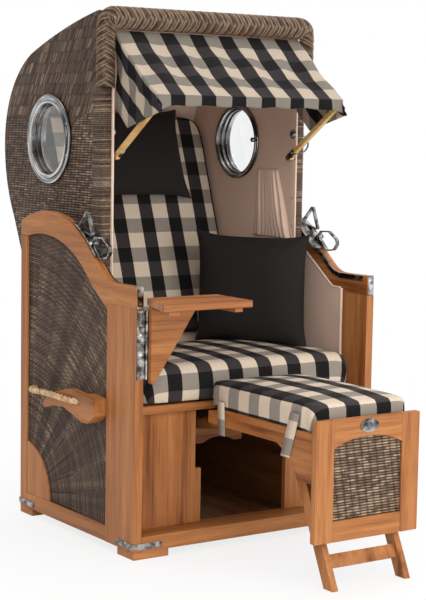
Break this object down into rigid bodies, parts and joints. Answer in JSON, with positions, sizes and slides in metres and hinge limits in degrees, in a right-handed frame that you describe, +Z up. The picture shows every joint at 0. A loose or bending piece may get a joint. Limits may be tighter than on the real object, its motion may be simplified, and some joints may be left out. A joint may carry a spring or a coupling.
{
  "type": "hooded beach chair",
  "caption": "Single-seat hooded beach chair in teak and wicker, with a reclining hood, awning, side table and pull-out footrest",
  "frame": {"origin": "on the ground under the middle of the whole chair with its footrest out, 157 mm in front of the centre of its base", "axes": "the chair faces -Y, +X is to the right as seen from the front, +Z is up"},
  "size_m": [0.9876, 1.4843, 1.598],
  "materials": {
    "teak": "oiled, satin",
    "wicker": "woven round strands, grey-brown",
    "check_cloth": "woven cloth in a beige, grey and black check",
    "lining_cloth": "plain taupe canvas",
    "pillow_cloth": "plain anthracite canvas",
    "chrome": "polished",
    "steel": "zinc grey",
    "glass": "clear, slightly smoky",
    "rope": "laid sisal rope"
  },
  "bodies": {
    "base": {"left_arm_rail": "teak", "right_arm_rail": "teak", "left_front_post": "teak", "right_front_post": "teak", "rear_stiles": "teak", "side_bottom_rails": "teak", "left_side_panel": "wicker", "right_side_panel": "wicker", "lining_boards": "lining_cloth", "corner_gussets": "teak", "cross_rails": "teak", "front_panels": "teak", "seat_front_rail": "teak", "seat_deck": "teak", "floor_boards": "teak", "base_back_panel": "wicker", "footrest_runners": "teak", "foot_blocks": "teak", "corner_brackets": "steel", "handle_ropes": "rope", "handle_grips": "teak", "latch_rails": "steel", "post_straps": "chrome", "hood_pivot_bolts": "steel", "table_post_leaf": "steel", "seat_cushion": "check_cloth", "throw_pillow": "pillow_cloth"},
    "hood": {"left_hood_wall": "wicker", "right_hood_wall": "wicker", "hood_shell": "wicker", "braid_roll": "wicker", "edge_wraps": "wicker", "backrest_board": "lining_cloth", "backrest_cushion": "check_cloth", "headrest_pillow": "pillow_cloth", "hood_linings": "lining_cloth", "porthole_flanges": "chrome", "porthole_rings": "chrome", "porthole_glasses": "glass", "side_pocket": "lining_cloth", "latch_carriers": "steel", "pull_loops": "chrome", "awning_pivots": "steel"},
    "left_latch": {"left_latch_handle": "chrome"},
    "right_latch": {"right_latch_handle": "chrome"},
    "awning": {"awning_frame": "teak", "awning_canopy": "check_cloth"},
    "side_table": {"table_top": "teak", "table_supports": "teak", "table_hinge_leaf": "steel"},
    "footrest": {"footrest_stiles": "teak", "footrest_rails": "teak", "footrest_inlay": "wicker", "name_plate": "chrome", "footrest_aprons": "teak", "footrest_deck": "teak", "footrest_tail": "teak", "footrest_cushion": "check_cloth", "leg_pins": "steel"},
    "leg": {"leg_frame": "teak"}
  },
  "joints": [
    {"name": "hood_recline", "type": "hinge", "parent": "base", "child": "hood", "pos_m": [0, 0.338, 0.591], "axis": [-1, 0, 0], "range_deg": [0, 45]},
    {"name": "awning_swing", "type": "hinge", "parent": "hood", "child": "awning", "pos_m": [0, 0.107, 1.155], "axis": [-1, 0, 0], "range_deg": [-30, 50], "deforming": ["awning_canopy"]},
    {"name": "left_latch_lift", "type": "hinge", "parent": "hood", "child": "left_latch", "pos_m": [-0.4205, 0.06806, 0.89827], "axis": [-1, 0, 0], "range_deg": [0, 25]},
    {"name": "right_latch_lift", "type": "hinge", "parent": "hood", "child": "right_latch", "pos_m": [0.4205, 0.06806, 0.89827], "axis": [-1, 0, 0], "range_deg": [0, 25]},
    {"name": "table_swing", "type": "hinge", "parent": "base", "child": "side_table", "pos_m": [-0.4035, -0.2015, 0.626], "axis": [0, 0, -1], "range_deg": [0, 75]},
    {"name": "footrest_slide", "type": "slide", "parent": "base", "child": "footrest", "axis": [0, 0.9914, -0.1307], "range_m": [0, 0.44381], "deforming": ["footrest_cushion"]},
    {"name": "leg_fold", "type": "hinge", "parent": "footrest", "child": "leg", "pos_m": [0, -0.54, 0.385], "axis": [1, 0, 0], "range_deg": [0, 100]}
  ]
}
